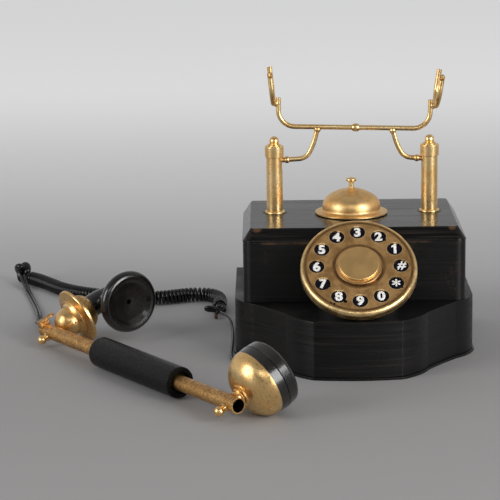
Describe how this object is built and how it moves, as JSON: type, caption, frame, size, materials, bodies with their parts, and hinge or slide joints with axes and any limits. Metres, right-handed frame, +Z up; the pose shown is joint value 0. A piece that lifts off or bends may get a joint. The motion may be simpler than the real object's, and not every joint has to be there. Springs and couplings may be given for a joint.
{
  "type": "rotary desk telephone",
  "caption": "Antique-style rotary desk telephone with a black metal base, gold cradle, bell and dial, and an off-hook handset on a curly cord.",
  "frame": {"origin": "on the desk under the middle of the body's footprint", "axes": "+X to the right of a person who faces the dial, +Y to the back, +Z up"},
  "size_m": [0.342, 0.3871, 0.1895],
  "materials": {
    "black_paint": "satin black paint with worn edges",
    "antique_gold": "antique gold, mottled, satin",
    "bright_gold": "antique gold, polished by use",
    "dial_face": "satin black with pale numbers",
    "black_moulding": "black moulded, satin gloss",
    "hidden_steel": "plain steel",
    "insulator": "brown insulating board",
    "cord_black": "glossy black covering"
  },
  "bodies": {
    "base": {"base_plate": "black_paint", "base_screws": "hidden_steel", "plinth_shell": "black_paint", "body_shell": "black_paint", "top_cover": "black_paint", "cord_grommets": "cord_black", "left_post": "antique_gold", "right_post": "antique_gold", "post_collars": "antique_gold", "finials": "bright_gold", "hook_contact_block": "insulator", "hook_contact_fixed": "bright_gold", "hook_contact_moving": "bright_gold", "bell_gong": "antique_gold", "gong_post": "bright_gold", "button_spring": "hidden_steel", "clapper_bracket": "hidden_steel", "clapper_pin": "hidden_steel", "cradle_springs": "hidden_steel", "dial_drum": "black_paint", "number_plate": "dial_face", "dial_bush": "bright_gold", "dial_bridge": "hidden_steel", "dial_pillars": "hidden_steel", "pulse_contacts": "insulator", "dial_spring": "hidden_steel", "cord_base_lead": "cord_black", "cord_base_tie": "cord_black", "cord_curl": "cord_black", "cord_end_knot": "cord_black", "cord_strand_left": "cord_black", "cord_strand_right": "cord_black"},
    "dial": {"finger_wheel": "antique_gold", "dial_centre_cap": "antique_gold", "dial_shaft": "hidden_steel", "dial_gear": "bright_gold"},
    "pulse_rotor": {"pulse_pinion": "bright_gold"},
    "cradle": {"left_plunger": "hidden_steel", "right_plunger": "hidden_steel", "left_arm": "antique_gold", "right_arm": "antique_gold", "cradle_bar": "antique_gold", "bar_sleeve": "antique_gold", "left_fork": "antique_gold", "right_fork": "antique_gold", "switch_crossbar": "insulator"},
    "bell_button": {"bell_button": "antique_gold"},
    "clapper": {"clapper": "hidden_steel"},
    "handset": {"handset_tube": "antique_gold", "handset_grip": "black_moulding", "earpiece_shell": "antique_gold", "earpiece_cap": "black_moulding", "receiver_capsule": "hidden_steel", "transmitter_shell": "antique_gold", "transmitter_drum": "antique_gold", "transmitter_capsule": "hidden_steel", "horn": "black_moulding", "mouth_disc": "black_moulding", "cup_bolts": "antique_gold", "cord_clip": "bright_gold"}
  },
  "joints": [
    {"name": "dial_turn", "type": "hinge", "parent": "base", "child": "dial", "pos_m": [0.0016, -0.08049, 0.07018], "axis": [0, -0.6574, 0.7536], "range_deg": [-330, 0], "stiffness_Nm_per_rad": 0.012, "springref_deg": 28.65, "deforming": ["dial_spring"]},
    {"name": "pulse_turn", "type": "hinge", "parent": "base", "child": "pulse_rotor", "pos_m": [0.01496, -0.08135, 0.05085], "axis": [0, -0.6574, 0.7536], "range_deg": [0, 1155]},
    {"name": "cradle_slide", "type": "slide", "parent": "base", "child": "cradle", "axis": [0, 0, 1], "range_m": [-0.005, 0], "stiffness_N_per_m": 150, "springref_m": 0.012, "deforming": ["cradle_springs", "hook_contact_moving"]},
    {"name": "bell_push", "type": "slide", "parent": "base", "child": "bell_button", "axis": [0, 0, 1], "range_m": [-0.004, 0], "stiffness_N_per_m": 200, "springref_m": 0.004, "deforming": ["button_spring"]},
    {"name": "clapper_swing", "type": "hinge", "parent": "base", "child": "clapper", "pos_m": [0.011, 0, 0.082], "axis": [0, -1, 0], "range_deg": [0, 21]},
    {"name": "handset_lift", "type": "slide", "parent": "base", "child": "handset", "axis": [0, 0, 1], "range_m": [0, 0.1], "deforming": ["cord_strand_left", "cord_strand_right"]}
  ],
  "couplings": [
    {"joint": "pulse_turn", "follows": "dial_turn", "ratio": -3.5},
    {"joint": "clapper_swing", "follows": "bell_push", "rad_per_m": -90.909}
  ]
}
